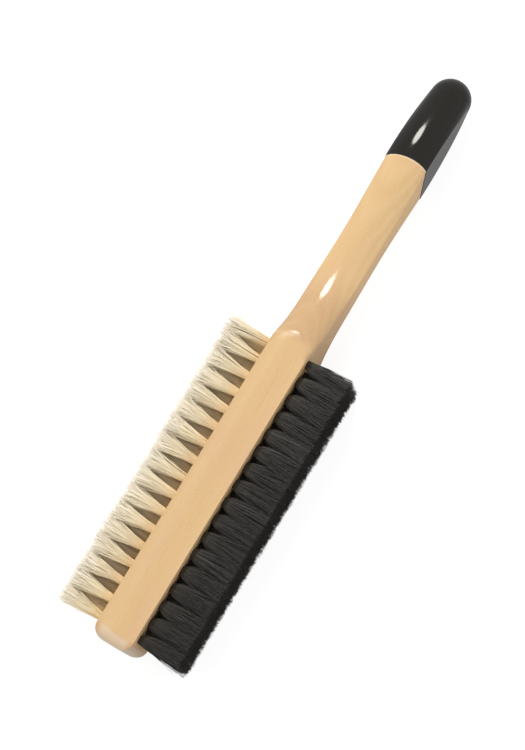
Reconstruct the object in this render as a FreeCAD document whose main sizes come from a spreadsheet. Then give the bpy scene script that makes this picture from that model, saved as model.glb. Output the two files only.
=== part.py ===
"""Double-sided hand brush: a beech stock with cream bristle on one face and black bristle on the other.

The stock is one piece of wood.  A flat head block runs into a handle with crowned edges, a waist
and a swollen end, and that end is dipped in black lacquer.  Each face of the head has blind holes in
staggered rows.  A folded tuft of bristle sits in every hole, held by a flat metal anchor.

Frame, in millimetres: X runs from the head to the tip of the handle, Y from the black bristle to the
cream bristle, Z is up.  The brush lies on its lower narrow edge, and the origin is the middle of the
bounding box's bottom.
"""
import FreeCAD
import Part
import Sketcher

import math
import os
import re

V = FreeCAD.Vector
DEGREES_HALF_TURN = 180.0
SAME_PLACE = 0.01

# Driving sizes: alias, value in millimetres (or a count, or degrees), meaning.
SIZES = [
    ("head_length", 160.4, "flat head block, end to shoulder"),
    ("head_width", 45.0, "head across the broad face"),
    ("stock_thickness", 20.0, "head between the two broad faces"),
    ("head_end_radius", 6.0, "rounded rim of the head's end, on all four sides"),
    ("handle_length", 154.4, "shoulder to the wooden tip"),
    ("row_count", 5, "rows of tufts on each face"),
    ("tuft_count", 17, "tufts in the longer rows"),
    ("tuft_pitch", 9.35, "tuft to tuft along a row"),
    ("row_pitch", 7.2, "row to row across the face"),
    ("first_tuft_inset", 9.2, "head's end to the first tuft"),
    ("hole_diameter", 4.4, "drilled hole"),
    ("hole_depth", 7.0, "drilled hole"),
    ("bristle_length", 22.4, "bristle standing out of the face"),
    ("bristle_crown", 0.9, "rise of a trimmed tuft's middle over its rim"),
    ("tuft_clearance", 0.15, "tuft to the wall of its hole"),
    ("tuft_gap", 0.4, "free space between neighbouring tufts at their tips"),
    ("anchor_thickness", 0.4, "flat anchor strip"),
    ("anchor_height", 2.0, "flat anchor strip"),
    ("anchor_seat", 0.8, "fold of bristle under the anchor"),
    ("anchor_clearance", 0.1, "anchor to the bristle and the wall of the hole"),
    ("coat_thickness", 0.3, "black lacquer on the handle's end"),
    ("dip_depth", 53.8, "the handle's wooden tip to the lacquer's edge, on the axis"),
    ("dip_slant", 19.5, "degrees that the lacquer's edge leans"),
    ("dip_turn", 20.0, "degrees that the lean turns toward the cream bristle"),
    ("tool_overrun", 1.0, "start of a drill or a plane outside the wood"),
]

# Sections of the handle in order: name, distance, thickness, width of the flat on each broad face,
# and how far each crowned edge stands out.  The first ones are measured from the shoulder, and the
# ones of the swollen end from the wooden tip.  The root and the brow crown stand over the head's
# narrow edges, which are planed flush, so the flat of the head runs out in a tongue on the handle.
SHOULDER_STATIONS = [
    ("root", 0.0, 20.0, 46.5, 5.6),
    ("brow", 8.0, 20.0, 34.6, 5.3),
    ("slope", 16.5, 20.2, 24.2, 7.0),
    ("neck", 31.0, 20.3, 19.4, 4.9),
    ("wrist", 44.0, 20.4, 16.4, 4.4),
    ("waist", 58.0, 20.4, 14.2, 5.1),
]
TIP_STATIONS = [
    ("palm", 70.4, 20.3, 19.4, 5.2),
    ("swell", 46.4, 20.3, 26.0, 5.5),
    ("taper", 28.4, 20.2, 20.4, 6.6),
    ("point", 16.4, 20.0, 10.0, 8.8),
]
STATION_PARTS = ("distance", "thickness", "flat", "crown")
NOSE = [
    ("nose_thickness", 19.8, "round nose of the handle, between the broad faces"),
    ("nose_width", 23.6, "nose across the broad face"),
    ("nose_bury", 1.5, "end of the flat-sided handle past the middle of the nose"),
    ("nose_step", 0.5, "how far that end lies under the surface of the nose"),
    ("nose_flat", 1.0, "flat that is left at that end"),
]

doc = FreeCAD.newDocument("double_sided_brush")
sheet = doc.addObject("Spreadsheet::Sheet", "sizes")


def fill_sheet():
    """Write every driving size into the sheet under its alias."""
    rows = [(name, value, note) for name, value, note in SIZES + NOSE]
    for name, *values in SHOULDER_STATIONS + TIP_STATIONS:
        rows += [(f"{name}_{part}", value, f"{part} of the section at the {name}")
                 for part, value in zip(STATION_PARTS, values)]
    for row, (alias, value, note) in enumerate(rows, start=1):
        sheet.set(f"A{row}", note)
        sheet.set(f"B{row}", str(value))
        sheet.setAlias(f"B{row}", alias)
    doc.recompute()


def size(alias):
    """Read one driving size from the sheet."""
    return float(getattr(sheet, alias))


def cell(expression):
    """Put the sheet's name before every alias of an expression: an alias is words joined by underscores."""
    return re.sub(r"[a-z]+(?:_[a-z]+)+", r"sizes.\g<0>", expression)


# Places along X and Z, worked out from the sheet.
OVERALL = "(head_length + handle_length + coat_thickness)"
HEAD_END = f"(-{OVERALL} / 2)"
SHOULDER = f"({HEAD_END} + head_length)"
WOODEN_TIP = f"({SHOULDER} + handle_length)"
NOSE_CENTRE = f"({WOODEN_TIP} - nose_thickness / 2)"
MIDDLE = "(head_width / 2)"
FACE = "(stock_thickness / 2)"
HOLE_FLOOR = f"({FACE} - hole_depth)"
TUFT_TIP = f"({FACE} + bristle_length)"
TUFT_REACH = "min(tuft_pitch; sqrt((tuft_pitch / 2) ^ 2 + row_pitch ^ 2)) / 2 - tuft_gap / 2"


def plane(body, role):
    """Find an origin plane or axis of a body by its role."""
    return next(f for f in body.Origin.OriginFeatures if f.Role == role)


def new_body(label):
    """Make a body whose label names its file."""
    body = doc.addObject("PartDesign::Body", label)
    body.Label = label
    body.AllowCompound = True
    return body


def new_sketch(body, name, role, along=("0", "0", "0"), turn=None):
    """Make a sketch on an origin plane of its body, moved by three expressions in the plane's frame."""
    sketch = body.newObject("Sketcher::SketchObject", name)
    sketch.AttachmentSupport = [(plane(body, role), "")]
    sketch.MapMode = "FlatFace"
    sketch.AttachmentOffset = FreeCAD.Placement(V(), turn or FreeCAD.Rotation())
    for axis, expression in zip("xyz", along):
        sketch.setExpression(f".AttachmentOffset.Base.{axis}", cell(expression))
    return sketch


def bind(sketch, name, constraint, expression):
    """Add a named constraint and bind it to an expression."""
    index = sketch.addConstraint(constraint)
    sketch.renameConstraint(index, name)
    sketch.setExpression(f"Constraints.{name}", cell(expression))


def close_loop(sketch, count):
    """Join the end of each edge to the start of the next."""
    for edge in range(count):
        sketch.addConstraint(Sketcher.Constraint("Coincident", edge, 2, (edge + 1) % count, 1))


def rectangle(sketch, width, height, low=None):
    """Draw a rectangle, centred on the sketch's origin or standing on a height over it."""
    corners = [V(-1, -1), V(1, -1), V(1, 1), V(-1, 1)]
    for start, end in zip(corners, corners[1:] + corners[:1]):
        sketch.addGeometry(Part.LineSegment(start, end), False)
    close_loop(sketch, 4)
    sketch.addConstraint(Sketcher.Constraint("Symmetric", 0, 1, 0, 2, -2))
    sketch.addConstraint(Sketcher.Constraint("Horizontal", 2))
    sketch.addConstraint(Sketcher.Constraint("Vertical", 3))
    bind(sketch, "across", Sketcher.Constraint("DistanceX", 0, 1, 0, 2, 2.0), width)
    bind(sketch, "upright", Sketcher.Constraint("DistanceY", 1, 1, 1, 2, 2.0), height)
    if low is None:
        sketch.addConstraint(Sketcher.Constraint("Symmetric", 1, 1, 1, 2, -1))
    else:
        sketch.addConstraint(Sketcher.Constraint("Vertical", 1))
        bind(sketch, "standing", Sketcher.Constraint("DistanceY", -1, 1, 0, 1, 1.0), low)


def evaluate(expression):
    """Work out an expression of the sheet's aliases."""
    return float(sheet.evalExpression(expression))


def crowned_section(sketch, thickness, flat, crown):
    """Draw a handle section: two flats joined by two crowned edges."""
    half, side, rise = evaluate(f"({thickness}) / 2"), evaluate(f"({flat}) / 2"), evaluate(crown)
    top, right = V(0, side + rise), V(half, side)
    left, low_left, low_right = V(-half, side), V(-half, -side), V(half, -side)
    sketch.addGeometry(Part.LineSegment(low_left, left), False)
    sketch.addGeometry(Part.Arc(left, top, right), False)
    sketch.addGeometry(Part.LineSegment(right, low_right), False)
    sketch.addGeometry(Part.Arc(low_right, -top, low_left), False)
    arc_starts = [sketch.getPoint(edge, 1) for edge in (1, 3)]
    near = (1, 2) if arc_starts[0].x < 0 else (2, 1)
    far = (1, 2) if arc_starts[1].x > 0 else (2, 1)
    sketch.addConstraint(Sketcher.Constraint("Coincident", 0, 2, 1, near[0]))
    sketch.addConstraint(Sketcher.Constraint("Coincident", 1, near[1], 2, 1))
    sketch.addConstraint(Sketcher.Constraint("Coincident", 2, 2, 3, far[0]))
    sketch.addConstraint(Sketcher.Constraint("Coincident", 3, far[1], 0, 1))
    sketch.addConstraint(Sketcher.Constraint("Symmetric", 0, 1, 0, 2, -1))
    sketch.addConstraint(Sketcher.Constraint("Symmetric", 0, 2, 2, 1, -2))
    sketch.addConstraint(Sketcher.Constraint("Symmetric", 0, 1, 2, 2, -2))
    bind(sketch, "thick", Sketcher.Constraint("DistanceX", 0, 2, 2, 1, 2 * half), thickness)
    bind(sketch, "level", Sketcher.Constraint("DistanceY", 0, 1, 0, 2, 2 * side), flat)
    centre = f"({flat}) / 2 + ({crown}) / 2 - (({thickness}) / 2) ^ 2 / (2 * ({crown}))"
    away = evaluate(centre)
    bind(sketch, "near_centre", Sketcher.Constraint("DistanceY", -1, 1, 1, 3, away), centre)
    bind(sketch, "far_centre", Sketcher.Constraint("DistanceY", 3, 3, -1, 1, away), centre)


def add_stock_form(body, skin):
    """Build the block, the lofted handle and its round nose, all grown by an expression, the skin."""
    label = body.Label
    start = new_sketch(body, f"{label}_shoulder", "YZ_Plane", ("0", MIDDLE, SHOULDER))
    rectangle(start, f"stock_thickness + 2 * {skin}", f"head_width + 2 * {skin}")
    block = body.newObject("PartDesign::Pad", f"{label}_block")
    block.Profile = start
    block.Reversed = True
    block.setExpression("Length", cell("head_length"))
    places = [(name, f"{SHOULDER} + {name}_distance") for name, *_ in SHOULDER_STATIONS]
    places += [(name, f"{WOODEN_TIP} - {name}_distance") for name, *_ in TIP_STATIONS]
    sections = []
    for name, place in places:
        section = new_sketch(body, f"{label}_{name}", "YZ_Plane", ("0", MIDDLE, place))
        crowned_section(section, f"{name}_thickness + 2 * {skin}", f"{name}_flat", f"{name}_crown + {skin}")
        sections.append(section)
    last = new_sketch(body, f"{label}_end", "YZ_Plane", ("0", MIDDLE, f"{NOSE_CENTRE} + nose_bury"))
    inset = f"2 * (nose_step - {skin})"
    crowned_section(last, f"nose_thickness - {inset}", "nose_flat", f"(nose_width - nose_flat - {inset}) / 2")
    sections.append(last)
    handle = body.newObject("PartDesign::AdditiveLoft", f"{label}_handle")
    handle.Profile = sections[0]
    handle.Sections = sections[1:]
    doc.recompute()
    plane_edges(body, skin)
    round_nose(body, f"(nose_thickness / 2 + {skin})", f"(nose_width / 2 + {skin})")


def plane_edges(body, skin):
    """Plane the root of the handle flush with the narrow edges of the head."""
    reach = "(slope_distance + 2 * tool_overrun)"
    middle = f"{SHOULDER} + slope_distance / 2"
    depth = "(root_flat - head_width) / 2 + root_crown + tool_overrun"
    for name, turn in (("upper", 0.0), ("lower", DEGREES_HALF_TURN)):
        label = f"{body.Label}_{name}_plane"
        spin = FreeCAD.Rotation(V(0, 0, 1), turn)
        outline = new_sketch(body, f"{label}_outline", "XZ_Plane", (middle, MIDDLE, "0"), spin)
        rectangle(outline, reach, depth, f"{MIDDLE} + {skin}")
        cut = body.newObject("PartDesign::Pocket", label)
        cut.Profile = outline
        cut.SideType = "Symmetric"
        cut.setExpression("Length", cell("2 * stock_thickness"))
        doc.recompute()


def round_nose(body, reach, rise):
    """Close the handle with an arc turned about the upright: its reach and its rise are expressions."""
    outline = new_sketch(body, f"{body.Label}_nose_outline", "XZ_Plane", (NOSE_CENTRE, MIDDLE, "0"))
    top = evaluate(rise)
    outline.addGeometry(Part.Arc(V(0, -top), V(evaluate(reach), 0), V(0, top)), False)
    outline.addGeometry(Part.LineSegment(V(0, top), V(0, -top)), False)
    close_loop(outline, 2)
    for point, axis in ((1, -2), (2, -2), (3, -1)):
        outline.addConstraint(Sketcher.Constraint("PointOnObject", 0, point, axis))
    back = f"({rise} ^ 2 - {reach} ^ 2) / (2 * {reach})"
    bind(outline, "rise", Sketcher.Constraint("DistanceY", 0, 1, 0, 2, 2 * top), f"2 * {rise}")
    bind(outline, "back", Sketcher.Constraint("DistanceX", 0, 3, -1, 1, evaluate(back)), back)
    nose = body.newObject("PartDesign::Revolution", f"{body.Label}_nose")
    nose.Profile = outline
    nose.ReferenceAxis = (outline, ["V_Axis"])
    nose.Angle = 2 * DEGREES_HALF_TURN
    doc.recompute()


def round_head_end(body):
    """Round the four edges of the head's end."""
    end = evaluate(HEAD_END)
    tip = body.Tip
    names = [f"Edge{i}" for i, edge in enumerate(tip.Shape.Edges, start=1)
             if all(abs(v.X - end) < SAME_PLACE for v in edge.Vertexes)]
    fillet = body.newObject("PartDesign::Fillet", "head_end_rim")
    fillet.Base = (tip, names)
    fillet.setExpression("Radius", cell("head_end_radius"))
    doc.recompute()


def row_place(row):
    """Give a row's tuft count, the X of its first tuft and its Z, as expressions."""
    odd = row % 2
    count = f"(tuft_count - {odd})"
    first = f"({HEAD_END} + first_tuft_inset + {odd} * tuft_pitch / 2)"
    height = f"({MIDDLE} + (({row}) - (row_count - 1) / 2) * row_pitch)"
    return count, first, height


def repeat_along_x(body, features, count, name):
    """Repeat features along a row, and make the pattern the body's tip."""
    pattern = body.newObject("PartDesign::LinearPattern", name)
    pattern.Originals = features
    pattern.Direction = (plane(body, "X_Axis"), [""])
    pattern.Mode = "Spacing"
    pattern.setExpression("Offset", cell("tuft_pitch"))
    pattern.setExpression("Occurrences", cell(count))
    body.Tip = pattern
    doc.recompute()
    return pattern


SIDES = (("cream", 1, None), ("black", -1, FreeCAD.Rotation(V(1, 0, 0), DEGREES_HALF_TURN)))


def drill_rows(body):
    """Drill the blind holes of every row into both broad faces."""
    for side, sign, _ in SIDES:
        for row in range(int(size("row_count"))):
            count, first, height = row_place(row)
            # The XZ plane's normal is -Y, so the cream face lies at a negative offset.
            outside = f"{-sign} * ({FACE} + tool_overrun)"
            hole = new_sketch(body, f"{side}_hole_{row + 1}", "XZ_Plane", (first, height, outside))
            hole.addGeometry(Part.Circle(V(), V(0, 0, 1), size("hole_diameter") / 2), False)
            hole.addConstraint(Sketcher.Constraint("Coincident", 0, 3, -1, 1))
            bind(hole, "bore", Sketcher.Constraint("Diameter", 0, size("hole_diameter")), "hole_diameter")
            bore = body.newObject("PartDesign::Pocket", f"{side}_bore_{row + 1}")
            bore.Profile = hole
            bore.Reversed = sign > 0
            bore.setExpression("Length", cell("hole_depth + tool_overrun"))
            doc.recompute()
            repeat_along_x(body, [bore], count, f"{side}_bores_{row + 1}")


def tuft_outline(sketch):
    """Draw half a tuft: the shank in its hole, the flare over the face and the trimmed end."""
    radius = "hole_diameter / 2 - tuft_clearance"
    floor, face, tip = (evaluate(place) for place in (HOLE_FLOOR, FACE, TUFT_TIP))
    shank, reach, crown = evaluate(radius), evaluate(TUFT_REACH), size("bristle_crown")
    corners = [V(0, floor), V(shank, floor), V(shank, face), V(reach, tip - crown), V(0, tip)]
    for start, end in zip(corners, corners[1:] + corners[:1]):
        sketch.addGeometry(Part.LineSegment(start, end), False)
    close_loop(sketch, 5)
    sketch.addConstraint(Sketcher.Constraint("PointOnObject", 0, 1, -2))
    sketch.addConstraint(Sketcher.Constraint("Horizontal", 0))
    sketch.addConstraint(Sketcher.Constraint("Vertical", 1))
    sketch.addConstraint(Sketcher.Constraint("Vertical", 4))
    bind(sketch, "foot", Sketcher.Constraint("DistanceY", -1, 1, 0, 1, floor), HOLE_FLOOR)
    bind(sketch, "shank", Sketcher.Constraint("DistanceX", 0, 1, 0, 2, shank), radius)
    bind(sketch, "mouth", Sketcher.Constraint("DistanceY", -1, 1, 1, 2, face), FACE)
    bind(sketch, "spread", Sketcher.Constraint("DistanceX", -1, 1, 2, 2, reach), TUFT_REACH)
    bind(sketch, "rim", Sketcher.Constraint("DistanceY", -1, 1, 2, 2, tip - crown), f"{TUFT_TIP} - bristle_crown")
    bind(sketch, "tip", Sketcher.Constraint("DistanceY", -1, 1, 3, 2, tip), TUFT_TIP)


def add_strip(body, name, place, turn, spare, feature, length):
    """Add a flat strip across a hole, larger all round by a spare, as a pad or a pocket."""
    outline = new_sketch(body, f"{name}_outline", "XY_Plane", place, turn)
    rectangle(outline, length, f"anchor_height + 2 * {spare}", f"{HOLE_FLOOR} + anchor_seat - {spare}")
    strip = body.newObject(f"PartDesign::{feature}", name)
    strip.Profile = outline
    strip.SideType = "Symmetric"
    strip.setExpression("Length", cell(f"anchor_thickness + 2 * {spare}"))
    doc.recompute()
    return strip


def build_row(side, turn, row):
    """Build one row of tufts and one row of anchors."""
    count, first, height = row_place(row)
    place = (first, "0", height)
    tufts = new_body(f"{side}_bristle_row_{row + 1}")
    outline = new_sketch(tufts, f"{tufts.Label}_outline", "XY_Plane", place, turn)
    tuft_outline(outline)
    tuft = tufts.newObject("PartDesign::Revolution", f"{tufts.Label}_tuft")
    tuft.Profile = outline
    tuft.ReferenceAxis = (outline, ["V_Axis"])
    tuft.Angle = 2 * DEGREES_HALF_TURN
    doc.recompute()
    fold = add_strip(tufts, f"{tufts.Label}_fold", place, turn, "anchor_clearance", "Pocket", "hole_diameter")
    repeat_along_x(tufts, [tuft, fold], count, f"{tufts.Label}_pattern")
    anchors = new_body(f"{side}_anchor_row_{row + 1}")
    length = "hole_diameter - 2 * anchor_clearance"
    anchor = add_strip(anchors, f"{anchors.Label}_strip", place, turn, "0", "Pad", length)
    repeat_along_x(anchors, [anchor], count, f"{anchors.Label}_pattern")
    return [tufts, anchors]


def build_stock():
    """Build the wooden stock with its drilled faces."""
    body = new_body("wooden_stock")
    add_stock_form(body, "0")
    round_head_end(body)
    drill_rows(body)
    return body


def build_dip(stock):
    """Build the lacquer shell: the handle grown by the coat, past a leaning plane, less the wood."""
    form = new_body("coated_form")
    add_stock_form(form, "coat_thickness")
    reach = "(handle_length + head_width)"
    side = doc.addObject("Part::Box", "dipped_side")
    for name in ("Length", "Width", "Height"):
        side.setExpression(name, cell(f"2 * {reach}"))
    turn = math.radians(size("dip_turn"))
    lean = FreeCAD.Rotation(V(0, math.cos(turn), math.sin(turn)), size("dip_slant"))
    start = V(evaluate(f"{WOODEN_TIP} - dip_depth"), 0, evaluate(MIDDLE))
    corner = V(0, -evaluate(reach), -evaluate(reach))
    side.Placement = FreeCAD.Placement(start + lean.multVec(corner), lean)
    dipped = doc.addObject("Part::Common", "dipped_form")
    dipped.Base = form
    dipped.Tool = side
    dip = doc.addObject("Part::Cut", "handle_end_dip")
    dip.Base = dipped
    dip.Tool = stock
    dip.Label = "handle_end_dip"
    doc.recompute()
    return dip


def check_and_write(nodes):
    """Stop at any failed object or bad shape, then write one file for each node."""
    doc.recompute()
    for item in doc.Objects:
        if {"Invalid", "Error"} & set(item.State):
            raise RuntimeError(f"{item.Label} failed: {item.State}")
    for node in nodes:
        if node.Shape.isNull() or not node.Shape.isValid():
            raise RuntimeError(f"{node.Label} has no valid shape")
    os.makedirs("parts", exist_ok=True)
    for node in nodes:
        node.Shape.exportStep(os.path.join("parts", f"{node.Label}.step"))
        print(node.Label, len(node.Shape.Solids), "solids", round(node.Shape.Volume, 1), "mm3")


fill_sheet()
wooden_stock = build_stock()
nodes = [wooden_stock, build_dip(wooden_stock)]
for side_name, _, side_turn in SIDES:
    for row_index in range(int(size("row_count"))):
        nodes += build_row(side_name, side_turn, row_index)
check_and_write(nodes)
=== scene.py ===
"""Double-sided hand brush: lacquered beech, cream bristle on one broad face and black bristle on the other.

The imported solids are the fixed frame.  The wood and the black lacquer are finer copies of their solids
with eased edges, and each tuft is drawn as separate bristles that grow out of its drilled hole.
Lengths are in metres.  X runs from the head to the handle's tip, Y toward the cream bristle, Z up.
"""
import logging
import math
from dataclasses import dataclass, field
from enum import Enum

import bmesh
import bpy
import numpy as np
from mathutils import Matrix, Vector


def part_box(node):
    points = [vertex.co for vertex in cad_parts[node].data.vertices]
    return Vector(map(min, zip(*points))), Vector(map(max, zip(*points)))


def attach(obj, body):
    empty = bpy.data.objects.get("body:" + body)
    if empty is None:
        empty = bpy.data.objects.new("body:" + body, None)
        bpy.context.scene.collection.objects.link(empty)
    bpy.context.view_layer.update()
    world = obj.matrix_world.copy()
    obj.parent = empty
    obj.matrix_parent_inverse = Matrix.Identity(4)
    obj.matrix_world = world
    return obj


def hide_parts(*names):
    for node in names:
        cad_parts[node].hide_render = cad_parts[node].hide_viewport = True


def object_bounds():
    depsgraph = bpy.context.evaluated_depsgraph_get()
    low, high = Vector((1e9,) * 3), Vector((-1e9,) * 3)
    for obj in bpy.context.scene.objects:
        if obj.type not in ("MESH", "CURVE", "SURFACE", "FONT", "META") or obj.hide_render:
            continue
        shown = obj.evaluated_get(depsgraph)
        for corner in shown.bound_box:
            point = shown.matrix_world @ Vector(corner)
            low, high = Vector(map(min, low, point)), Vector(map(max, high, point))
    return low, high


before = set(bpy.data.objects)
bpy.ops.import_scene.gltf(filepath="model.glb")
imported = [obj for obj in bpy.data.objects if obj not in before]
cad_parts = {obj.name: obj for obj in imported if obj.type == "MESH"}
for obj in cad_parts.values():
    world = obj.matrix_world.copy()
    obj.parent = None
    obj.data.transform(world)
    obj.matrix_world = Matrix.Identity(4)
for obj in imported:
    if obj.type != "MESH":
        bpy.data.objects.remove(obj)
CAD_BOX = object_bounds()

MM = 0.001
FULL_TURN = 2.0 * math.pi
BODY = "root"
FIBRE_MAP = "OFBake"
MIX_COLOURS = (6, 7)  # the places of a Mix node's two colours
MIX_RESULT = 2  # the place of its mixed colour
WHITE = (1.0, 1.0, 1.0)
X_AXIS = (1.0, 0.0, 0.0)
GOLDEN_ANGLE = math.radians(137.508)
WAVE_TURN = 20.0  # radians that a wave texture of scale 1 turns in a metre
BOW_FULL = 27.0 / 4.0  # brings the top of x * x * (1 - x) up to 1
Colour = tuple[float, float, float]
Scale = tuple[float, float, float]
Socket = bpy.types.NodeSocket
Sockets = bpy.types.bpy_prop_collection
Value = Socket | Vector | tuple[float, ...] | float

log = logging.getLogger("hand_brush")


class Side(Enum):
    """The two bristle faces: the value is the direction of the face along Y."""

    CREAM = 1.0
    BLACK = -1.0

    @property
    def row_prefix(self) -> str:
        """Give the start of the names of this side's rows."""
        return f"{self.name.lower()}_bristle_row_"


# Node trees ---------------------------------------------------------------------------------------


class Graph:
    """A node tree with short calls that add nodes and join their sockets."""

    def __init__(self, tree: bpy.types.NodeTree) -> None:
        """Keep the tree and empty it.

        Args:
            tree: The tree to fill.
        """
        self.tree = tree
        tree.nodes.clear()

    def add(self, kind: str, settings: dict | None = None, **inputs: Value) -> bpy.types.Node:
        """Add a node, set its own properties, and feed its sockets.

        Args:
            kind: Blender's name of the node type.
            settings: The node's own properties.
            **inputs: Values or sockets by socket name, with underscores for spaces.

        Returns:
            The new node.
        """
        node = self.tree.nodes.new(kind)
        for name, value in (settings or {}).items():
            setattr(node, name, value)
        for name, value in inputs.items():
            self.feed(node.inputs[name.replace("_", " ")], value)
        return node

    def feed(self, socket: Socket, value: Value) -> None:
        """Link a socket, or set its value.

        Args:
            socket: The input that receives.
            value: An output socket, a number, a vector or a colour.
        """
        if isinstance(value, Socket):
            self.tree.links.new(value, socket)
        elif socket.type == "RGBA":
            socket.default_value = (*value[:3], 1.0)
        else:
            socket.default_value = value

    def maths(self, operation: str, *values: Value) -> Socket:
        """Work out a number.

        Args:
            operation: The Math node's operation.
            *values: One to three numbers or sockets.

        Returns:
            The result's socket.
        """
        node = self.add("ShaderNodeMath", {"operation": operation})
        for socket, value in zip(node.inputs, values):
            self.feed(socket, value)
        return node.outputs[0]

    def rise(self, value: Socket, start: float, end: float) -> Socket:
        """Turn a value into a smooth mask.

        Args:
            value: The value to read.
            start: Where the mask leaves 0.
            end: Where the mask reaches 1.

        Returns:
            The mask's socket.
        """
        settings = {"interpolation_type": "SMOOTHSTEP"}
        node = self.add("ShaderNodeMapRange", settings, Value=value, From_Min=start, From_Max=end)
        return node.outputs["Result"]

    def blend(self, share: Value, low: Value, high: Value, mode: str = "MIX") -> Socket:
        """Mix two colours.

        Args:
            share: How much of the second colour shows.
            low: The first colour.
            high: The second colour.
            mode: The Mix node's blend type.

        Returns:
            The mixed colour's socket.
        """
        node = self.add("ShaderNodeMix", {"data_type": "RGBA", "blend_type": mode})
        self.feed(node.inputs[0], share)
        for place, colour in zip(MIX_COLOURS, (low, high)):
            self.feed(node.inputs[place], colour)
        return node.outputs[MIX_RESULT]

    def noise(self, vector: Value, scale: Value = 1.0, detail: float = 2.0) -> Socket:
        """Read a noise pattern.

        Args:
            vector: The place that it is read at.
            scale: Its scale.
            detail: How many finer layers it has.

        Returns:
            The pattern's value socket.
        """
        node = self.add("ShaderNodeTexNoise", None, Vector=vector, Scale=scale, Detail=detail)
        return node.outputs[0]

    def stretch(self, vector: Value, scale: Scale, shift: Scale = (0.0, 0.0, 0.0)) -> Socket:
        """Scale and shift a place with a Mapping node.

        Args:
            vector: The place.
            scale: The scale along each axis.
            shift: The shift along each axis, after scaling.

        Returns:
            The new place's socket.
        """
        node = self.add("ShaderNodeMapping", None, Vector=vector, Scale=scale, Location=shift)
        return node.outputs[0]

    def band(self, value: Socket, rising: tuple[float, float], falling: tuple[float, float]) -> Socket:
        """Mask a band of a value.

        Args:
            value: The value to read.
            rising: Where the mask leaves 0, and where it reaches 1.
            falling: Where the mask leaves 1, and where it is back at 0.

        Returns:
            The mask's socket.
        """
        start, end = falling
        return self.maths("MULTIPLY", self.rise(value, *rising), self.rise(value, end, start))


def new_group(name: str, inputs: dict[str, str], outputs: dict[str, str]) -> tuple[Graph, dict, dict]:
    """Make a shader node group with named sockets.

    Args:
        name: The group's name.
        inputs: Socket type by input name.
        outputs: Socket type by output name.

    Returns:
        The group's graph, its input sockets by name, and the sockets that its outputs read.
    """
    tree = bpy.data.node_groups.new(name, "ShaderNodeTree")
    for in_out, sockets in (("INPUT", inputs), ("OUTPUT", outputs)):
        for socket, kind in sockets.items():
            tree.interface.new_socket(name=socket, in_out=in_out, socket_type=kind)
    graph = Graph(tree)
    given = graph.add("NodeGroupInput").outputs
    result = graph.add("NodeGroupOutput").inputs
    return graph, given, result


@dataclass(frozen=True)
class Figure:
    """How the figure of beech is stretched along and across the grain.

    The heart is where the rings have their middle, as a shift after the stretch.
    """

    ring_stretch: Scale = (0.12, 1.0, 1.0)
    heart: Scale = (0.0, 0.021, 0.064)
    ring_waver: float = 2.6
    ring_waver_scale: float = 0.12
    fibres: Scale = (45.0, 1500.0, 1500.0)
    flecks: Scale = (330.0, 1700.0, 1700.0)
    fleck_levels: tuple[float, float] = (0.66, 0.76)
    patches: Scale = (14.0, 55.0, 40.0)


def wood_figure(figure: Figure = Figure()) -> bpy.types.NodeTree:
    """Build the figure of plain-sawn beech: rings, long fibres, short ray flecks and slow patches.

    Args:
        figure: Its sizes.

    Returns:
        The node group.
    """
    graph, given, result = new_group(
        "wood figure",
        {"Place": "NodeSocketVector", "Ring Scale": "NodeSocketFloat"},
        {"Rings": "NodeSocketFloat", "Fibres": "NodeSocketFloat", "Flecks": "NodeSocketFloat",
         "Patches": "NodeSocketFloat"},
    )
    place = given["Place"]
    bent = graph.stretch(place, figure.ring_stretch, figure.heart)
    rings = graph.add("ShaderNodeTexWave", {"wave_type": "RINGS", "rings_direction": "X"}, Vector=bent,
                      Scale=given["Ring Scale"], Distortion=figure.ring_waver, Detail=2.0,
                      Detail_Scale=figure.ring_waver_scale)
    graph.feed(result["Rings"], rings.outputs["Fac"])
    graph.feed(result["Fibres"], graph.noise(graph.stretch(place, figure.fibres), detail=3.0))
    dashes = graph.noise(graph.stretch(place, figure.flecks), detail=0.0)
    graph.feed(result["Flecks"], graph.rise(dashes, *figure.fleck_levels))
    graph.feed(result["Patches"], graph.noise(graph.stretch(place, figure.patches)))
    return graph.tree


def soft_unevenness(dust_levels: tuple[float, float] = (0.72, 0.8)) -> bpy.types.NodeTree:
    """Build the slow waviness and faint dust of a hand-rubbed or dipped coat.

    Args:
        dust_levels: Where a speck of dust begins to show, and where it shows in full.

    Returns:
        The node group.
    """
    graph, given, result = new_group(
        "soft unevenness",
        {"Place": "NodeSocketVector", "Wave Scale": "NodeSocketFloat", "Dust Scale": "NodeSocketFloat"},
        {"Waves": "NodeSocketFloat", "Dust": "NodeSocketFloat"},
    )
    graph.feed(result["Waves"], graph.noise(given["Place"], given["Wave Scale"], detail=1.0))
    specks = graph.noise(given["Place"], given["Dust Scale"], detail=0.0)
    graph.feed(result["Dust"], graph.rise(specks, *dust_levels))
    return graph.tree


@dataclass(frozen=True)
class Strand:
    """Where a bristle's colours meet along it, and how rough it is at its foot and tip."""

    root_to_middle: tuple[float, float] = (0.2, 0.62)
    middle_to_tip: tuple[float, float] = (0.6, 1.0)
    roughness: float = 0.36
    tip_roughness: float = 0.56


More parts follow.
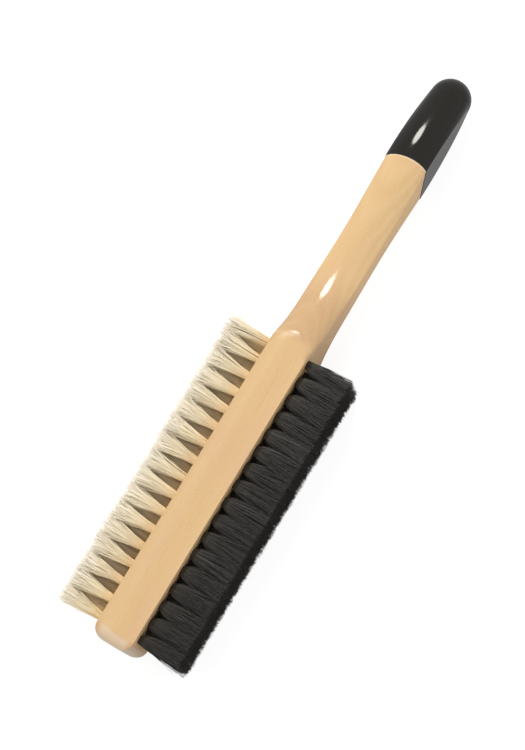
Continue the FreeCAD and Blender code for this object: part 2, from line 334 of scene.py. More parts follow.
def strand_tone(strand: Strand = Strand()) -> bpy.types.NodeTree:
    """Build the colour of one bristle from its own tone and from the place along it.

    Args:
        strand: Where its colours lie.

    Returns:
        The node group.
    """
    graph, given, result = new_group(
        "strand tone",
        {"Tone": "NodeSocketFloat", "Along": "NodeSocketFloat", "Root": "NodeSocketColor",
         "Middle": "NodeSocketColor", "Tip": "NodeSocketColor", "Odd": "NodeSocketColor",
         "Odd Share": "NodeSocketFloat", "Spread": "NodeSocketFloat"},
        {"Color": "NodeSocketColor", "Roughness": "NodeSocketFloat"},
    )
    lower = graph.blend(graph.rise(given["Along"], *strand.root_to_middle), given["Root"], given["Middle"])
    whole = graph.blend(graph.rise(given["Along"], *strand.middle_to_tip), lower, given["Tip"])
    level = graph.maths("MULTIPLY_ADD", graph.maths("SUBTRACT", given["Tone"], 0.5), given["Spread"], 1.0)
    toned = graph.blend(1.0, whole, level, "MULTIPLY")
    odd = graph.maths("LESS_THAN", given["Tone"], given["Odd Share"])
    graph.feed(result["Color"], graph.blend(odd, toned, given["Odd"]))
    rougher = strand.tip_roughness - strand.roughness
    graph.feed(result["Roughness"], graph.maths("MULTIPLY_ADD", given["Along"], rougher, strand.roughness))
    return graph.tree


class Groups:
    """The node groups that several finishes share, each built once."""

    def __init__(self) -> None:
        """Build every shared group."""
        self.wood = wood_figure()
        self.coat = soft_unevenness()
        self.strand = strand_tone()


def place_group(graph: Graph, tree: bpy.types.NodeTree, **inputs: Value) -> Sockets:
    """Put a shared group in a material.

    Args:
        graph: The material's graph.
        tree: The group.
        **inputs: Values or sockets by socket name, with underscores for spaces.

    Returns:
        The group's output sockets.
    """
    node = graph.add("ShaderNodeGroup", {"node_tree": tree})
    for name, value in inputs.items():
        graph.feed(node.inputs[name.replace("_", " ")], value)
    return node.outputs


# Finishes -----------------------------------------------------------------------------------------


def new_material(name: str) -> tuple[bpy.types.Material, Graph]:
    """Make an empty material.

    Args:
        name: The material's name.

    Returns:
        The material and its graph.
    """
    material = bpy.data.materials.new(name)
    material.use_nodes = True
    return material, Graph(material.node_tree)


@dataclass(frozen=True)
class BeechFinish:
    """Pale beech under a clear gloss lacquer.

    The slope is the shoulder between head and handle, by its X, where painted shade darkens the wood; the
    broad edge is rounded there.
    The end is the end grain, paler within its depth of the head's end: the paleness is partly the end
    grain's own tone and partly a painted reflection.  Painted shade darkens the end where it turns onto
    the broad faces, and a painted shade line marks where it begins.  The side is how far the broad
    faces lie from the middle plane.  The rim highlight is a painted highlight in a band before the
    black lacquer's edge.
    """

    pale: Colour = (0.742, 0.502, 0.252)
    warm: Colour = (0.692, 0.445, 0.203)
    pink: Colour = (0.725, 0.472, 0.258)
    # colour of the flecks and dust, and of the painted shade line at the head's end
    fleck: Colour = (0.520, 0.310, 0.140)
    pink_levels: tuple[float, float] = (0.38, 0.66)
    ring_pitch: float = 3.2 * MM
    ring_share: float = 0.45
    fibre_share: float = 0.12
    fleck_share: float = 0.08
    dust_share: float = 0.15
    wave_scale: float = 70.0
    dust_scale: float = 900.0
    # painted shade: the shoulder's slope is darker and pinker in its colour
    painted_slope_shade: Colour = (0.875, 0.835, 0.86)
    slope_rising: tuple[float, float] = (6.0 * MM, 12.0 * MM)
    slope_falling: tuple[float, float] = (26.0 * MM, 50.0 * MM)
    # paler end colour: partly the end grain's own tone, partly a painted reflection on the end face
    end_grain_and_reflection: Colour = (0.760, 0.585, 0.410)
    end_share: float = 0.8
    end_share_aside: float = 0.15
    # painted shade: the end darkens where it turns onto the broad faces
    end_shade: Colour = (0.86, 0.79, 0.68)
    end_depth: float = 6.0 * MM
    end_blur: float = 1.1 * MM
    wander: float = 6.0 * MM
    # painted shade line where the end's rounding begins
    line_share: float = 0.12
    line_before: float = 1.0 * MM
    line_after: float = 1.4 * MM
    # painted highlight along the black lacquer's edge
    masked: Colour = (0.920, 0.780, 0.580)
    masked_share: float = 0.55
    masked_band: tuple[float, float] = (0.9 * MM, 0.3 * MM)
    side: float = 9.8 * MM
    side_blur: float = 0.15 * MM
    low_side: float = 0.6
    gloss: float = 0.12
    dull: float = 0.5
    ior: float = 1.5
    fine_edge: float = 0.6 * MM
    broad_edge: float = 6.0 * MM
    broad_rising: tuple[float, float] = (0.0 * MM, 3.0 * MM)
    broad_falling: tuple[float, float] = (15.0 * MM, 18.0 * MM)
    bevel_samples: int = 8
    relief: float = 0.012 * MM
    relief_share: float = 0.35
    fibre_relief: float = 0.4

    def build(self, groups: Groups, head_end: float, edge_plane: tuple[Vector, float]) -> bpy.types.Material:
        """Build the material.

        Args:
            groups: The shared node groups.
            head_end: The X of the head's end.
            edge_plane: The plane in which the black lacquer ends: its direction and its distance.

        Returns:
            The material.
        """
        material, graph = new_material("lacquered_beech")
        place = graph.add("ShaderNodeTexCoord").outputs["Object"]
        ring_scale = FULL_TURN / (WAVE_TURN * self.ring_pitch)
        wood = place_group(graph, groups.wood, Place=place, Ring_Scale=ring_scale)
        coat = place_group(graph, groups.coat, Place=place, Wave_Scale=self.wave_scale,
                           Dust_Scale=self.dust_scale)
        along, across, _ = graph.add("ShaderNodeSeparateXYZ", None, Vector=place).outputs
        aside = graph.maths("ABSOLUTE", across)
        grain = self.grain(graph, wood, coat, along)
        capped = self.cap_end(graph, grain, graph.maths("MULTIPLY_ADD", coat["Waves"], self.wander, along),
                              aside, head_end + self.end_depth + 0.5 * self.wander)
        # painted highlight in a thin rim along the black lacquer's edge
        colour = self.paint_rim_highlight(graph, capped, place, *edge_plane)
        broad = graph.rise(aside, self.side, self.side + self.side_blur)
        roughness = graph.maths("MULTIPLY_ADD", broad, self.dull - self.gloss, self.gloss)
        shader = graph.add("ShaderNodeBsdfPrincipled", None, Base_Color=colour, Roughness=roughness,
                           IOR=self.ior, Normal=self.soften(graph, wood, coat, along))
        graph.add("ShaderNodeOutputMaterial", None, Surface=shader.outputs[0])
        return material

    def grain(self, graph: Graph, wood: Sockets, coat: Sockets, along: Socket) -> Socket:
        """Colour the wood: patches, rings, fibres, flecks and dust, with painted shade where the shoulder
        slopes.

        Args:
            graph: The material's graph.
            wood: The wood figure's outputs.
            coat: The coat's outputs.
            along: The place along the brush.

        Returns:
            The colour's socket.
        """
        ground = graph.blend(graph.rise(wood["Patches"], *self.pink_levels), self.pale, self.pink)
        ringed = graph.blend(graph.maths("MULTIPLY", wood["Rings"], self.ring_share), ground, self.warm)
        level = graph.maths("MULTIPLY_ADD", wood["Fibres"], self.fibre_share, 1.0 - self.fibre_share / 2.0)
        streaked = graph.blend(1.0, ringed, level, "MULTIPLY")
        flecked = graph.blend(graph.maths("MULTIPLY", wood["Flecks"], self.fleck_share), streaked, self.fleck)
        dusted = graph.blend(graph.maths("MULTIPLY", coat["Dust"], self.dust_share), flecked, self.fleck)
        # painted shade on the sloping shoulder
        painted_shade_band = graph.band(along, self.slope_rising, self.slope_falling)
        return graph.blend(painted_shade_band, dusted, self.painted_slope_shade, "MULTIPLY")

    def cap_end(self, graph: Graph, colour: Socket, wavy: Socket, aside: Socket, edge: float) -> Socket:
        """Show the paler end at the head's end, partly end grain and partly painted reflection, with
        painted shade where it turns onto the broad faces and a faint painted shade line where it begins.

        Args:
            graph: The material's graph.
            colour: The wood's colour.
            wavy: The place along the brush, wavering.
            aside: The distance from the middle plane between the broad faces.
            edge: Where the end grain begins.

        Returns:
            The new colour's socket.
        """
        low_side = graph.rise(aside, self.low_side * self.side, self.side)
        end = graph.rise(wavy, edge + self.end_blur, edge - self.end_blur)
        share = graph.maths("MULTIPLY_ADD", low_side, self.end_share_aside - self.end_share, self.end_share)
        # paler end: the end grain's tone plus a painted reflection
        capped = graph.blend(graph.maths("MULTIPLY", end, share), colour, self.end_grain_and_reflection)
        # painted shade where the end meets the broad faces
        shaded = graph.blend(graph.maths("MULTIPLY", end, low_side), capped, self.end_shade, "MULTIPLY")
        # painted shade: a faint dark line where the end grain begins
        line = graph.band(wavy, (edge - self.line_before, edge), (edge, edge + self.line_after))
        return graph.blend(graph.maths("MULTIPLY", line, self.line_share), shaded, self.fleck)

    def paint_rim_highlight(self, graph: Graph, colour: Socket, place: Socket, direction: Vector,
                 distance: float) -> Socket:
        """Paint a highlight on the wood in a thin rim along the black lacquer's edge.

        Args:
            graph: The material's graph.
            colour: The wood's colour.
            place: The place on the brush.
            direction: The direction of the lacquer's edge plane.
            distance: The plane's distance from the origin along it.

        Returns:
            The new colour's socket.
        """
        past = graph.add("ShaderNodeVectorMath", {"operation": "DOT_PRODUCT"})
        graph.feed(past.inputs[0], place)
        graph.feed(past.inputs[1], direction)
        start, end = self.masked_band
        rim = graph.rise(past.outputs["Value"], distance - start, distance - end)
        return graph.blend(graph.maths("MULTIPLY", rim, self.masked_share), colour, self.masked)

    def soften(self, graph: Graph, wood: Sockets, coat: Sockets, along: Socket) -> Socket:
        """Round the normal at the edges, most of all at the shoulder, and add the fine relief.

        Args:
            graph: The material's graph.
            wood: The wood figure's outputs.
            coat: The coat's outputs.
            along: The place along the brush.

        Returns:
            The normal's socket.
        """
        reach = graph.band(along, self.broad_rising, self.broad_falling)
        radius = graph.maths("MULTIPLY_ADD", reach, self.broad_edge - self.fine_edge, self.fine_edge)
        rounded = graph.add("ShaderNodeBevel", {"samples": self.bevel_samples}, Radius=radius)
        fibres = graph.maths("MULTIPLY", wood["Fibres"], self.fibre_relief)
        bump = graph.add("ShaderNodeBump", None, Strength=self.relief_share, Distance=self.relief,
                         Normal=rounded.outputs[0], Height=graph.maths("ADD", fibres, coat["Waves"]))
        return bump.outputs[0]


@dataclass(frozen=True)
class BlackLacquerFinish:
    """Thick black gloss lacquer left by dipping."""

    colour: Colour = (0.0076, 0.0069, 0.0057)
    tint: Colour = (0.95, 0.92, 0.85)
    dust_share: float = 0.5
    dust_tone: float = 3.0
    wave_scale: float = 90.0
    dust_scale: float = 1100.0
    roughness: float = 0.08
    roughness_spread: float = 0.06
    ior: float = 1.5
    relief: float = 0.02 * MM
    relief_share: float = 0.3

    def build(self, groups: Groups) -> bpy.types.Material:
        """Build the material.

        Args:
            groups: The shared node groups.

        Returns:
            The material.
        """
        material, graph = new_material("dipped_black_lacquer")
        place = graph.add("ShaderNodeTexCoord").outputs["Object"]
        coat = place_group(graph, groups.coat, Place=place, Wave_Scale=self.wave_scale,
                           Dust_Scale=self.dust_scale)
        dusty = tuple(self.dust_tone * part for part in self.colour)
        colour = graph.blend(graph.maths("MULTIPLY", coat["Dust"], self.dust_share), self.colour, dusty)
        roughness = graph.maths("MULTIPLY_ADD", coat["Waves"], self.roughness_spread, self.roughness)
        bump = graph.add("ShaderNodeBump", None, Strength=self.relief_share, Distance=self.relief,
                         Height=coat["Waves"])
        shader = graph.add("ShaderNodeBsdfPrincipled", None, Base_Color=colour, Roughness=roughness,
                           IOR=self.ior, Specular_Tint=self.tint, Normal=bump.outputs[0])
        graph.add("ShaderNodeOutputMaterial", None, Surface=shader.outputs[0])
        return material


@dataclass(frozen=True)
class BristleFinish:
    """Natural bristle: one colour at the root, one along the strand and one at the split tip."""

    name: str
    root: Colour
    middle: Colour
    tip: Colour
    odd: Colour
    odd_share: float
    spread: float
    ior: float = 1.45
    sheen: float = 0.0
    sheen_roughness: float = 0.4
    sheen_tint: Colour = (1.0, 0.86, 0.62)

    def build(self, groups: Groups) -> bpy.types.Material:
        """Build the material.

        Args:
            groups: The shared node groups.

        Returns:
            The material.
        """
        material, graph = new_material(self.name)
        spot = graph.add("ShaderNodeUVMap", {"uv_map": FIBRE_MAP}).outputs[0]
        parts = graph.add("ShaderNodeSeparateXYZ", None, Vector=spot).outputs
        strand = place_group(graph, groups.strand, Tone=parts[0], Along=parts[1], Root=self.root,
                             Middle=self.middle, Tip=self.tip, Odd=self.odd, Odd_Share=self.odd_share,
                             Spread=self.spread)
        shader = graph.add("ShaderNodeBsdfPrincipled", None, Base_Color=strand["Color"],
                           Roughness=strand["Roughness"], IOR=self.ior, Sheen_Weight=self.sheen,
                           Sheen_Roughness=self.sheen_roughness, Sheen_Tint=self.sheen_tint)
        graph.add("ShaderNodeOutputMaterial", None, Surface=shader.outputs[0])
        return material


@dataclass(frozen=True)
class StripSteelFinish:
    """Plain strip steel of the anchors."""

    colour: Colour = (0.55, 0.55, 0.56)
    dark_share: float = 0.7
    drawn: Scale = (400.0, 6000.0, 6000.0)
    roughness: float = 0.25
    roughness_spread: float = 0.25

    def build(self, groups: Groups) -> bpy.types.Material:
        """Build the material.

        Args:
            groups: The shared node groups.

        Returns:
            The material.
        """
        material, graph = new_material("strip_steel")
        place = graph.add("ShaderNodeTexCoord").outputs["Object"]
        drawn = graph.stretch(place, self.drawn)
        coat = place_group(graph, groups.coat, Place=drawn, Wave_Scale=1.0)
        darker = tuple(self.dark_share * part for part in self.colour)
        colour = graph.blend(coat["Waves"], darker, self.colour)
        roughness = graph.maths("MULTIPLY_ADD", coat["Waves"], self.roughness_spread, self.roughness)
        shader = graph.add("ShaderNodeBsdfPrincipled", None, Base_Color=colour, Metallic=1.0,
                           Roughness=roughness)
        graph.add("ShaderNodeOutputMaterial", None, Surface=shader.outputs[0])
        return material


CREAM_BRISTLE = BristleFinish(
    name="cream_natural_bristle",
    # the darker, yellower root is partly the bristle's own tone and partly painted shade warming the gaps
    # between tufts
    root=(0.96, 0.72, 0.38),
    middle=(0.99, 0.875, 0.63),
    tip=(0.95, 0.885, 0.745),
    odd=(0.10, 0.07, 0.04),
    odd_share=0.014,
    spread=0.14,
    ior=1.3,
    sheen=0.8,
)
BLACK_BRISTLE = BristleFinish(
    name="black_natural_bristle",
    # the root is lighter than the strand: painted light lifting the shaded gaps between tufts
    root=(0.059, 0.052, 0.042),
    middle=(0.032, 0.028, 0.023),
    tip=(0.034, 0.030, 0.026),
    odd=(0.12, 0.11, 0.10),
    odd_share=0.015,
    spread=0.7,
)


# Wood and lacquer ---------------------------------------------------------------------------------


@dataclass
class EasedCopy:
    """A smooth copy of a solid whose hard outer edges are sanded round."""

    node: str
    slot: str
    ease: float
    hard_angle: float = math.radians(24.0)
    steps: int = 3
    weld: float = 0.001 * MM
    flat_angle: float = math.radians(0.4)

    def build(self, material: bpy.types.Material, keep_sharp: tuple[Vector, Vector] | None = None) -> None:
        """Copy the solid, round its edges, dress it and let it stand for the solid.

        Args:
            material: The finish.
            keep_sharp: Lowest and highest corner of a box whose edges stay as they are.
        """
        form = bmesh.new()
        form.from_mesh(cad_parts[self.node].data)
        bmesh.ops.remove_doubles(form, verts=form.verts, dist=self.weld)
        bmesh.ops.dissolve_limit(form, angle_limit=self.flat_angle, verts=form.verts, edges=form.edges)
        edges = [edge for edge in form.edges if self.is_hard(edge, keep_sharp)]
        bmesh.ops.bevel(form, geom=edges, offset=self.ease, offset_type="OFFSET", segments=self.steps,
                        profile=0.5, affect="EDGES", clamp_overlap=True, material=-1)
        bmesh.ops.recalc_face_normals(form, faces=form.faces)
        mesh = bpy.data.meshes.new(f"{self.node}_eased")
        form.to_mesh(mesh)
        form.free()
        mesh.shade_smooth()
        mesh.set_sharp_from_angle(angle=self.hard_angle)
        piece = bpy.data.objects.new(f"{self.node}_eased", mesh)
        bpy.context.scene.collection.objects.link(piece)
        weights = piece.modifiers.new("flat faces stay flat", "WEIGHTED_NORMAL")
        weights.keep_sharp = True
        mesh.materials.append(material)
        settle(piece, self.node)

    def is_hard(self, edge: bmesh.types.BMEdge, keep_sharp: tuple[Vector, Vector] | None) -> bool:
        """Tell whether an edge is one that sanding rounds.

        Args:
            edge: The edge.
            keep_sharp: Lowest and highest corner of a box whose edges stay as they are.

        Returns:
            True for a hard edge outside the box.
        """
        if not edge.is_manifold or edge.calc_face_angle() < self.hard_angle:
            return False
        if keep_sharp is None:
            return True
        low, high = keep_sharp
        middle = (edge.verts[0].co + edge.verts[1].co) / 2.0
        return any(not low[axis] < middle[axis] < high[axis] for axis in range(3))


@dataclass(frozen=True)
class DipEdge:
    """The leaning plane in which the black lacquer ends."""

    depth: float = 54.1 * MM
    slant: float = math.radians(19.5)
    turn: float = math.radians(20.0)

    def plane(self) -> tuple[Vector, float]:
        """Place the plane by the tip of the lacquer.

        Returns:
            The plane's direction, toward the tip, and its distance from the origin along it.
        """
        low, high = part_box("handle_end_dip")
        start = Vector((high.x - self.depth, 0.0, (low.z + high.z) / 2.0))
        axis = Vector((0.0, math.cos(self.turn), math.sin(self.turn)))
        direction = Matrix.Rotation(self.slant, 3, axis) @ Vector(X_AXIS)
        return direction, direction.dot(start)


def settle(piece: bpy.types.Object, node: str) -> None:
    """Let a piece ride on the brush and stand for its solid.

    Args:
        piece: The finished piece.
        node: The solid that it stands for.
    """
    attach(piece, BODY)
    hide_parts(node)
    log.info("%s: %d faces, stands for %s", piece.name, len(piece.data.polygons), node)


# Bristle ------------------------------------------------------------------------------------------


@dataclass(frozen=True)
class Head:
    """The drilled head: where its broad faces lie, and the radius of its holes."""

    face: float = 10.0 * MM
    bore: float = 2.05 * MM


HEAD = Head()


@dataclass(frozen=True)
class Cut:
    """How one colour of bristle is bundled and trimmed.

    The rings stand along the free length.  The heart is the number of middle bristles that thicken
    toward their tips: they fill the tuft.
    """

    side: Side
    slot: str
    finish: BristleFinish
    count: int = 330
    radius: float = 0.11 * MM
    tip_share: float = 0.55
    taper_power: int = 3
    fan: float = math.radians(9.6)
    flare: float = 1.55
    loose_flare: float = 1.7
    rings: tuple[float, ...] = (0.0, 0.3, 0.65, 1.0)
    edge_hold: float = 0.3
    stray: float = math.radians(2.2)
    lean: float = math.radians(1.2)
    wisps: int = 13
    gather: float = 0.35
    least_gather: float = 0.3
    curl: float = 0.3 * MM
    flick: float = 1.0 * MM
    flick_power: int = 6
    ragged: float = 0.5 * MM
    wisp_ragged: float = 0.7
    shortest: float = 0.8
    past_height: float = 0.8 * MM
    proud: float = -0.2 * MM
    anchor_room: float = 0.3 * MM
    heart: int = 0
    heart_radius: float = 0.42 * MM
    heart_height: float = 0.91


CREAM_CUT = Cut(Side.CREAM, "cream_bristle", CREAM_BRISTLE, heart=100)
BLACK_CUT = Cut(Side.BLACK, "black_bristle", BLACK_BRISTLE, fan=math.radians(11.5), flare=0.5,
                loose_flare=0.9, rings=(0.0, 0.11, 0.45, 1.0), stray=math.radians(2.5), ragged=0.3 * MM,
                flick=0.6 * MM, proud=0.4 * MM)


@dataclass
class BristleRow:
    """One row of tufts, drawn as separate bristles."""

    cut: Cut
    number: int
    facets: int = 3
    facet_share: float = 0.001
    spacing: float = 4.0
    crown_margin: float = 0.01 * MM
    decimals: int = 5
    low: Vector = field(init=False)
    high: Vector = field(init=False)
    height: float = field(init=False)
    depth: float = field(init=False)
    rng: np.random.Generator = field(init=False)

    def __post_init__(self) -> None:
        """Read the row's box, and start its own run of random numbers."""
        self.low, self.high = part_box(self.node)
        self.height = max(abs(self.low.y), abs(self.high.y)) - HEAD.face
        self.depth = HEAD.face - min(abs(self.low.y), abs(self.high.y))
        self.rng = np.random.default_rng([self.number, int(self.cut.side is Side.CREAM)])

    @property
    def node(self) -> str:
        """Give the name of the row's solids."""
        return f"{self.cut.side.row_prefix}{self.number}"

    def tuft_centres(self) -> list[float]:
        """Find the X of each tuft: a trimmed tuft is highest in its middle.

        Returns:
            The places in order.
        """
        crown = max(abs(self.low.y), abs(self.high.y)) - self.crown_margin
        tops = [v.co.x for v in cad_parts[self.node].data.vertices if abs(v.co.y) > crown]
        return sorted({round(x, self.decimals) for x in tops})

    def bristle_form(self) -> bpy.types.Mesh:
        """Model one straight bristle: a unit long along Y, a unit in radius, and closed at its tip.

        Returns:
            The mesh.
        """
        start = self.depth / (self.depth + self.height)
        level = 0.0
        form = bmesh.new()
        lying = Matrix.Rotation(math.radians(-90.0), 4, "X")
        bmesh.ops.create_circle(form, cap_ends=False, segments=self.facets, radius=1.0, matrix=lying)
        edges = form.edges[:]
        for height in self.cut.rings:
            grown = bmesh.ops.extrude_edge_only(form, edges=edges)["geom"]
            ring = [part for part in grown if isinstance(part, bmesh.types.BMVert)]
            edges = [part for part in grown if isinstance(part, bmesh.types.BMEdge)]
            rise = start + (1.0 - start) * height - level
            level += rise
            bmesh.ops.translate(form, verts=ring, vec=(0.0, rise, 0.0))
        bmesh.ops.contextual_create(form, geom=edges)
        bmesh.ops.recalc_face_normals(form, faces=form.faces)
        mesh = bpy.data.meshes.new("bristle")
        form.to_mesh(mesh)
        form.free()
        return mesh

    def bundle(self, form: bpy.types.Mesh, copies: int) -> bpy.types.Mesh:
        """Repeat a bristle side by side along X.

        Args:
            form: The bristle.
            copies: How many there are.

        Returns:
            A mesh in which the copies follow each other.
        """
        strand = bpy.data.objects.new("strand", form)
        bpy.context.scene.collection.objects.link(strand)
        array = strand.modifiers.new("bundle", "ARRAY")
        array.count = copies
        array.use_relative_offset = False
        array.use_constant_offset = True
        array.constant_offset_displace = (self.spacing, 0.0, 0.0)
        bpy.context.view_layer.update()
        shown = strand.evaluated_get(bpy.context.evaluated_depsgraph_get())
        mesh = bpy.data.meshes.new_from_object(shown)
        bpy.data.objects.remove(strand)
        return mesh

    def feet(self, copies: int, bore: float) -> tuple[np.ndarray, np.ndarray]:
        """Spread a tuft's bristles evenly over its hole.

        Args:
            copies: How many bristles there are.
            bore: The radius that they fill.

        Returns:
            Each bristle's X and Z from the hole's middle, and how far its foot steps aside for the anchor.
        """
        turn = np.arange(copies) * GOLDEN_ANGLE + self.rng.uniform(0.0, FULL_TURN)
        reach = bore * np.sqrt((np.arange(copies) + 0.5) / copies)
        across, along = reach * np.cos(turn), reach * np.sin(turn)
        aside = np.sign(along) * self.cut.anchor_room * (1.0 - np.abs(along) / bore)
        return np.stack([across, along]), aside

    def comb(self, feet: np.ndarray, bore: float, height: float, end: float) -> tuple[np.ndarray, ...]:
        """Fan a tuft's bristles out, gather them in wisps and trim them.

        Args:
            feet: The feet's X and Z from the hole's middle.
            bore: The radius of the bundle in its hole.
            height: The tuft's height over the face.
            end: -1 or 1 at the row's first or last tuft, which stands straighter on that side, else 0.

        Returns:
            How far the fan and the wisps carry each tip along X and Z, and each bristle's height.
        """
        cut, rng, copies = self.cut, self.rng, feet.shape[1]
        spread = feet * math.tan(cut.fan) * height / bore
        spread[0] *= np.where(feet[0] * end > 0.0, cut.edge_hold, 1.0)
        lean = rng.normal(0.0, math.tan(cut.lean) * height, 2)
        if end:
            lean[0] = -end * abs(lean[0])
        stray = rng.normal(0.0, math.tan(cut.stray) * height, (2, copies))
        tips = feet + spread + lean[:, None] + stray
        heads = tips[:, rng.choice(copies, cut.wisps, replace=False)]
        nearest = np.argmin(((tips[:, :, None] - heads[:, None, :]) ** 2).sum(0), axis=1)
        tips += (heads[:, nearest] - tips) * cut.gather * rng.uniform(cut.least_gather, 1.0, copies)
        lengths = height + cut.proud + rng.normal(0.0, cut.ragged, cut.wisps)[nearest] * cut.wisp_ragged
        lengths += rng.normal(0.0, cut.ragged, copies)
        trimmed = np.clip(lengths, cut.shortest * height, height + cut.past_height)
        return spread, tips - feet - spread, trimmed

    def build(self, material: bpy.types.Material) -> None:
        """Draw the row, dress it and let it stand for its solids.

        Args:
            material: The bristle's finish.
        """
        cut, sign = self.cut, self.cut.side.value
        height, depth = self.height, self.depth
        centres = self.tuft_centres()
        middle = (self.low.z + self.high.z) / 2.0
        reach = CAD_BOX[0][2] + cut.radius - middle, CAD_BOX[1][2] - cut.radius - middle
        bore = HEAD.bore - cut.radius
        copies = cut.count * len(centres)
        mesh = self.bundle(self.bristle_form(), copies)
        places = np.empty(len(mesh.vertices) * 3, np.float32)
        mesh.vertices.foreach_get("co", places)
        places = places.reshape(copies, -1, 3)
        share = places[0, :, 1].copy()
        turn = np.arctan2(places[0, :, 2], places[0, :, 0])
        start = depth / (depth + height)
        above = np.clip((share - start) / (1.0 - start), 0.0, 1.0)
        below = np.clip(1.0 - share / start, 0.0, 1.0)
        thick = cut.radius * (1.0 - (1.0 - cut.tip_share) * above ** cut.taper_power)
        tone = self.rng.random(copies)
        for tuft, centre in enumerate(centres):
            part = slice(tuft * cut.count, (tuft + 1) * cut.count)
            feet, aside = self.feet(cut.count, bore)
            end = float(tuft == len(centres) - 1) - float(tuft == 0)
            fanned, loose, lengths = self.comb(feet, bore, height, end)
            bend = self.rng.normal(0.0, cut.curl, (2, cut.count))
            flick = self.rng.normal(0.0, cut.flick, (2, cut.count))
            path = (feet[:, :, None] + fanned[:, :, None] * above ** cut.flare
                    + loose[:, :, None] * above ** cut.loose_flare
                    + bend[:, :, None] * above ** 2 * (1.0 - above) * BOW_FULL
                    + flick[:, :, None] * above ** cut.flick_power)
            path[1] = np.clip(path[1] + aside[:, None] * below, *reach)
            heart = np.argsort(np.hypot(*feet))[:cut.heart]
            lengths[heart] *= cut.heart_height
            girth = np.tile(thick, (cut.count, 1))
            girth[heart] = cut.radius + (cut.heart_radius - cut.radius) * above
            places[part, :, 0] = centre + path[0] + girth * np.cos(turn)
            places[part, :, 2] = middle + path[1] + girth * np.sin(turn)
            total = depth + lengths
            places[part, :, 1] = sign * (HEAD.face - depth + total[:, None] * share)
        mesh.vertices.foreach_set("co", places.astype(np.float32).ravel())
        if cut.side is Side.BLACK:
            mesh.flip_normals()
        self.map_tones(mesh, tone, np.tile(share, copies), np.tile(turn, copies))
        mesh.update()
        mesh.materials.append(material)
        piece = bpy.data.objects.new(f"{self.node}_bristles", mesh)
        bpy.context.scene.collection.objects.link(piece)
        settle(piece, self.node)

    def map_tones(self, mesh: bpy.types.Mesh, tone: np.ndarray, share: np.ndarray, turn: np.ndarray) -> None:
        """Give the bristles a map: across it lies each bristle's tone, and up it the place along it.

        A facet is a narrow upright strip of the map round its bristle's tone.

        Args:
            mesh: The row's mesh.
            tone: One number for each bristle.
            share: The place along its bristle of each vertex.
            turn: The direction of each vertex round its bristle.
        """
        corner = np.empty(len(mesh.loops), np.int32)
        mesh.loops.foreach_get("vertex_index", corner)
        first, sides = np.empty((2, len(mesh.polygons)), np.int32)
        mesh.polygons.foreach_get("loop_start", first)
        mesh.polygons.foreach_get("loop_total", sides)
        each = len(mesh.vertices) // len(tone)
        edge = np.where(np.isclose(turn[corner], np.repeat(turn[corner[first]], sides)), -1.0, 1.0)
        across = self.facet_share * edge + (1.0 - 2.0 * self.facet_share) * tone[corner // each]
        spots = np.stack([across + self.facet_share, share[corner]], axis=1)
        layer = mesh.uv_layers.new(name=FIBRE_MAP)
        layer.uv.foreach_set("vector", spots.astype(np.float32).ravel())


# Studio -------------------------------------------------------------------------------------------


def facing(place: Vector, right: Vector, back: Vector) -> Matrix:
    """Place a camera or a lamp.

    Args:
        place: Where it stands.
        right: Its right-hand direction.
        back: The direction that it looks away from.

    Returns:
        Its matrix.
    """
    return Matrix.Translation(place) @ Matrix((right, back.cross(right), back)).transposed().to_4x4()


@dataclass
class Viewpoint:
    """The camera: how it leans, turns and frames the brush."""

    distance: float = 1.3995
    toward_head: float = math.radians(5.796)
    toward_black: float = math.radians(10.318)
    roll: float = math.radians(-58.565)
    slide: float = -13.165 * MM
    lift: float = -6.185 * MM
    lens: float = 142.13

    def build(self, centre: Vector) -> None:
        """Stand the camera and make it the scene's own.

        Args:
            centre: The middle of the brush.
        """
        back = Vector((-math.sin(self.toward_head) * math.cos(self.toward_black),
                       -math.sin(self.toward_black),
                       math.cos(self.toward_head) * math.cos(self.toward_black)))
        level = (Vector(X_AXIS) - back * back.x).normalized()
        upright = back.cross(level)
        right = level * math.cos(self.roll) + upright * math.sin(self.roll)
        up = upright * math.cos(self.roll) - level * math.sin(self.roll)
        place = centre + right * self.slide + up * self.lift + back * self.distance
        data = bpy.data.cameras.new("view")
        data.lens = self.lens
        camera = bpy.data.objects.new("view", data)
        camera.matrix_world = facing(place, right, back)
        bpy.context.scene.collection.objects.link(camera)
        bpy.context.scene.camera = camera


@dataclass
class Softbox:
    """One soft oval lamp, aimed at the brush: it measures its size along X and across."""

    name: str
    direction: tuple[float, float, float]
    distance: float
    size: tuple[float, float]
    power: float
    mirrored: bool = True

    def build(self, centre: Vector) -> None:
        """Stand the lamp.

        Args:
            centre: The middle of the brush.
        """
        data = bpy.data.lights.new(self.name, "AREA")
        data.shape = "ELLIPSE"
        data.size, data.size_y = self.size
        data.energy = self.power
        lamp = bpy.data.objects.new(self.name, data)
        away = Vector(self.direction).normalized()
        right = (Vector(X_AXIS) - away * away.x).normalized()
        lamp.matrix_world = facing(centre + away * self.distance, right, away)
        lamp.visible_glossy = self.mirrored
        bpy.context.scene.collection.objects.link(lamp)


LAMPS = (
    Softbox("key", (0.481, 0.315, 0.818), 1.352, (0.36, 0.50), 8.4),
    Softbox("low fill", (0.15, -0.90, 0.42), 1.4, (2.0, 0.9), 3.5, mirrored=False),
    Softbox("end fill", (-0.85, -0.15, 0.50), 1.4, (1.0, 1.0), 2.4, mirrored=False),
    Softbox("tip fill", (0.0, 0.98, 0.20), 1.4, (1.4, 0.5), 4.0, mirrored=False),
)


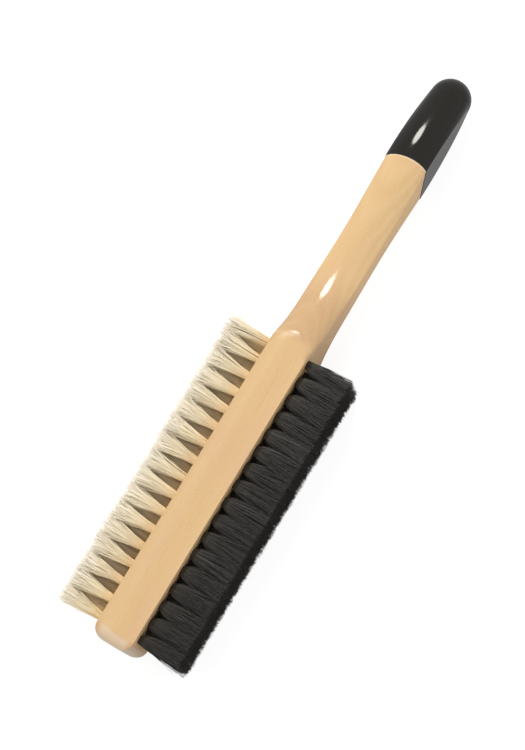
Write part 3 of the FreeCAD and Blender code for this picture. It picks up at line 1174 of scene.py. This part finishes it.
@dataclass
class Studio:
    """A plain pale floor, soft lamps and an even surround."""

    floor_size: float = 6.0
    floor_grey: float = 0.22
    bounce_grey: float = 0.8
    floor_lift: float = 0.87
    gloss_share: float = 0.29
    surround: float = 0.6
    paper_waves: float = 0.01
    paper_scale: float = 40.0

    def build(self, groups: Groups, low: Vector, centre: Vector) -> None:
        """Lay the floor and light the scene.

        Args:
            groups: The shared node groups.
            low: The lowest corner of the brush.
            centre: The middle of the brush.
        """
        form = bmesh.new()
        bmesh.ops.create_grid(form, x_segments=1, y_segments=1, size=self.floor_size / 2.0)
        bmesh.ops.translate(form, verts=form.verts, vec=(0.0, 0.0, low.z))
        mesh = bpy.data.meshes.new("floor")
        form.to_mesh(mesh)
        form.free()
        floor = bpy.data.objects.new("floor", mesh)
        bpy.context.scene.collection.objects.link(floor)
        mesh.materials.append(self.floor_material(groups))
        self.light_surround()
        for lamp in LAMPS:
            lamp.build(centre)

    def floor_material(self, groups: Groups) -> bpy.types.Material:
        """Build the floor's paper: white to the camera, with the brush's soft shadow on it.

        Args:
            groups: The shared node groups.

        Returns:
            The material.
        """
        material, graph = new_material("white_paper")
        place = graph.add("ShaderNodeTexCoord").outputs["Object"]
        coat = place_group(graph, groups.coat, Place=place, Wave_Scale=self.paper_scale)
        ray = graph.add("ShaderNodeLightPath").outputs
        bounce = self.bounce_grey - self.floor_grey
        base = graph.maths("MULTIPLY_ADD", ray["Is Diffuse Ray"], bounce, self.floor_grey)
        grey = graph.maths("MULTIPLY_ADD", coat["Waves"], self.paper_waves, base)
        paper = graph.add("ShaderNodeBsdfDiffuse", None, Color=grey)
        seen = graph.maths("MULTIPLY_ADD", ray["Is Glossy Ray"], self.gloss_share, ray["Is Camera Ray"])
        glow = graph.add("ShaderNodeEmission", None, Color=WHITE,
                         Strength=graph.maths("MULTIPLY", seen, self.floor_lift))
        both = graph.add("ShaderNodeAddShader")
        graph.feed(both.inputs[0], paper.outputs[0])
        graph.feed(both.inputs[1], glow.outputs[0])
        graph.add("ShaderNodeOutputMaterial", None, Surface=both.outputs[0])
        return material

    def light_surround(self) -> None:
        """Light the scene evenly from all round."""
        world = bpy.data.worlds.new("surround")
        world.use_nodes = True
        graph = Graph(world.node_tree)
        even = graph.add("ShaderNodeBackground", None, Color=WHITE, Strength=self.surround)
        graph.add("ShaderNodeOutputWorld", None, Surface=even.outputs[0])
        bpy.context.scene.world = world


# The brush ----------------------------------------------------------------------------------------


def main() -> None:
    """Dress the brush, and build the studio."""
    logging.basicConfig(level=logging.INFO, format="%(name)s: %(message)s")
    bpy.context.scene.view_settings.view_transform = "Standard"
    groups = Groups()
    low, high = CAD_BOX
    centre = (Vector(low) + Vector(high)) / 2.0
    Viewpoint().build(centre)
    beech = BeechFinish().build(groups, low[0], DipEdge().plane())
    lacquer = BlackLacquerFinish().build(groups)
    steel = StripSteelFinish().build(groups)
    first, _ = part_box("cream_bristle_row_1")
    _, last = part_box("cream_bristle_row_5")
    drilled = (Vector((first.x, low[1], first.z)), Vector((last.x, high[1], last.z)))
    EasedCopy("wooden_stock", "lacquered_wood", 0.7 * MM).build(beech, drilled)
    EasedCopy("handle_end_dip", "black_lacquer", 0.12 * MM).build(lacquer)
    for cut in (CREAM_CUT, BLACK_CUT):
        material = cut.finish.build(groups)
        rows = [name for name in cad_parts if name.startswith(cut.side.row_prefix)]
        for number in range(1, len(rows) + 1):
            BristleRow(cut, number).build(material)
    for name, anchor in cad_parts.items():
        if "_anchor_row_" in name:
            anchor.data.materials[0] = steel
    Studio().build(groups, Vector(low), centre)


if __name__ == "__main__":
    main()
